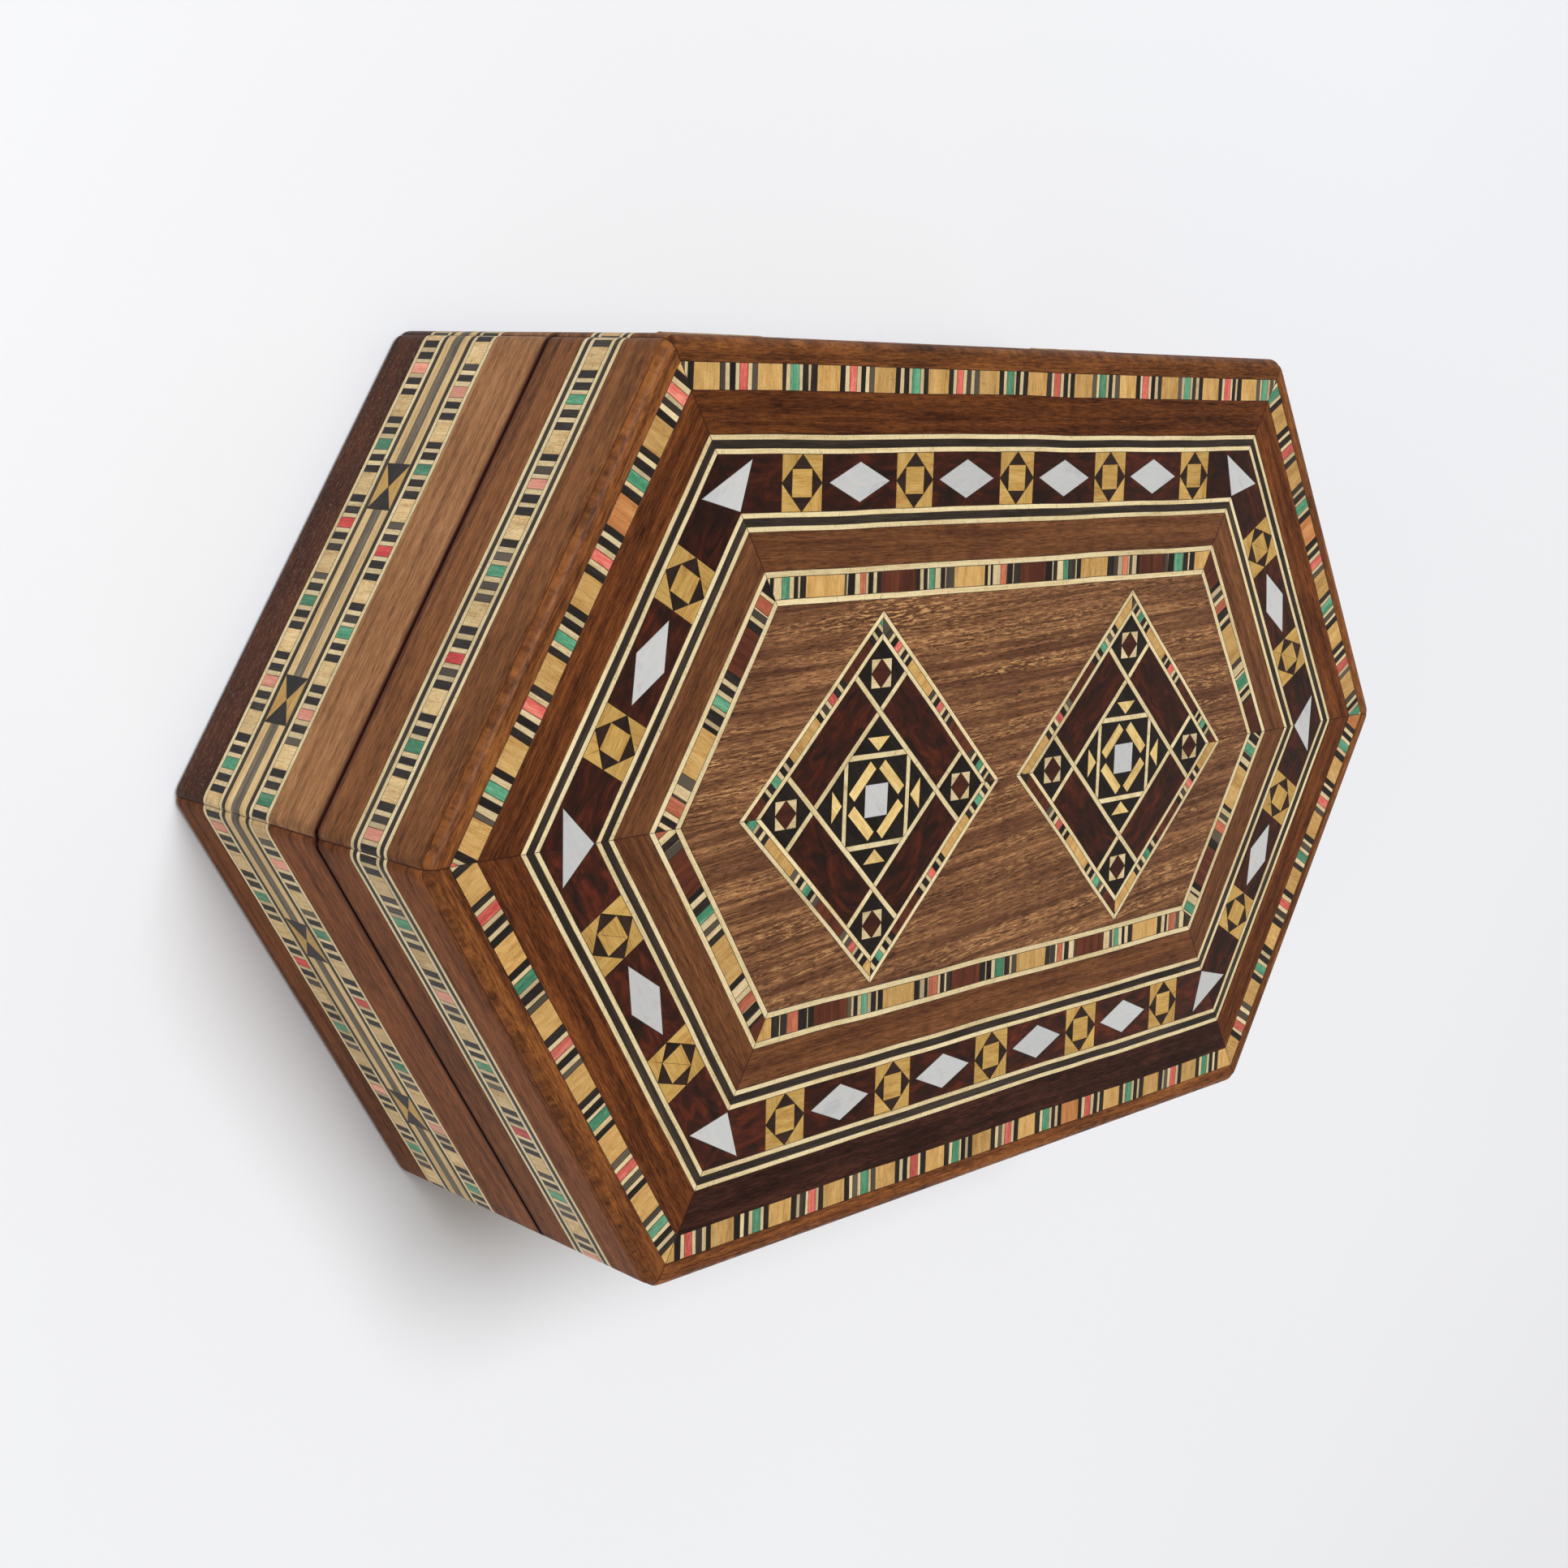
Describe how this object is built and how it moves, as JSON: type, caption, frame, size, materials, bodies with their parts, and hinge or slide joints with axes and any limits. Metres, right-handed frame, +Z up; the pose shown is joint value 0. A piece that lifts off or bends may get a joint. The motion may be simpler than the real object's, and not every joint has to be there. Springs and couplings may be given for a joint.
{
  "type": "inlaid wooden box",
  "caption": "Six-sided hinged wooden box with a veneered lid and sides inlaid with wood strips and mother-of-pearl, lined with velvet.",
  "frame": {"origin": "middle of the underside of the box", "axes": "+X along the box from tip to tip, +Y towards the hinged long side, +Z up through the lid"},
  "size_m": [0.1996, 0.1196, 0.055],
  "materials": {
    "hinge_brass": "satin, lightly tarnished",
    "velvet": "deep red velvet pile",
    "carcass_wood": "plain sanded hardwood",
    "walnut_dark": "satin lacquer",
    "walnut_light": "satin lacquer",
    "walnut_red": "satin lacquer",
    "walnut_field": "satin lacquer",
    "mosaic_strip": "satin lacquer, laminated coloured blocks",
    "ebony": "satin lacquer",
    "pearl": "polished shell",
    "rosewood": "satin lacquer",
    "star_tile": "satin lacquer, laminated star pattern",
    "yellow_wood": "satin lacquer",
    "cream_wood": "satin lacquer"
  },
  "bodies": {
    "box_body": {"body_back_left_wall": "carcass_wood", "body_back_right_wall": "carcass_wood", "body_back_wall": "carcass_wood", "body_base_band": "walnut_dark", "body_black_lines": "ebony", "body_bottom_board": "carcass_wood", "body_bowtie_tiles": "star_tile", "body_cream_lines": "cream_wood", "body_dark_strips": "ebony", "body_floor_lining": "velvet", "body_front_left_wall": "carcass_wood", "body_front_right_wall": "carcass_wood", "body_front_wall": "carcass_wood", "body_hinge_leaves": "hinge_brass", "body_hinge_screws": "hinge_brass", "body_lower_mosaic": "mosaic_strip", "body_top_band": "walnut_light", "body_upper_mosaic": "mosaic_strip", "body_wall_lining": "velvet", "body_yellow_strips": "yellow_wood", "hinge_pins": "hinge_brass"},
    "lid": {"diamond_bars": "yellow_wood", "diamond_border_lines": "cream_wood", "diamond_centre_ground": "ebony", "diamond_corner_squares": "ebony", "diamond_corner_tiles": "star_tile", "diamond_lattice_lines": "cream_wood", "diamond_mosaic": "mosaic_strip", "diamond_panels": "rosewood", "diamond_triangles": "yellow_wood", "field_back_panel": "walnut_field", "field_front_panel": "walnut_field", "lid_back_left_rim": "carcass_wood", "lid_back_right_rim": "carcass_wood", "lid_back_rim": "carcass_wood", "lid_border_band": "walnut_red", "lid_ceiling_lining": "velvet", "lid_edge_mosaic": "mosaic_strip", "lid_face_black_lines": "ebony", "lid_face_cream_lines": "cream_wood", "lid_front_left_rim": "carcass_wood", "lid_front_right_rim": "carcass_wood", "lid_front_rim": "carcass_wood", "lid_hinge_leaves": "hinge_brass", "lid_hinge_screws": "hinge_brass", "lid_inner_band": "walnut_field", "lid_inner_mosaic": "mosaic_strip", "lid_lower_band": "walnut_dark", "lid_outer_band": "walnut_red", "lid_side_black_lines": "ebony", "lid_side_cream_lines": "cream_wood", "lid_side_mosaic": "mosaic_strip", "lid_top_board": "carcass_wood", "lid_upper_band": "walnut_dark", "lid_wall_lining": "velvet", "pearl_rhombi": "pearl", "pearl_squares": "pearl", "pearl_triangles": "pearl", "star_band_ground": "rosewood", "star_tiles": "star_tile"}
  },
  "joints": [
    {"name": "lid_hinge", "type": "hinge", "parent": "box_body", "child": "lid", "pos_m": [0, 0.059, 0.033], "axis": [-1, 0, 0], "range_deg": [0, 100]}
  ]
}
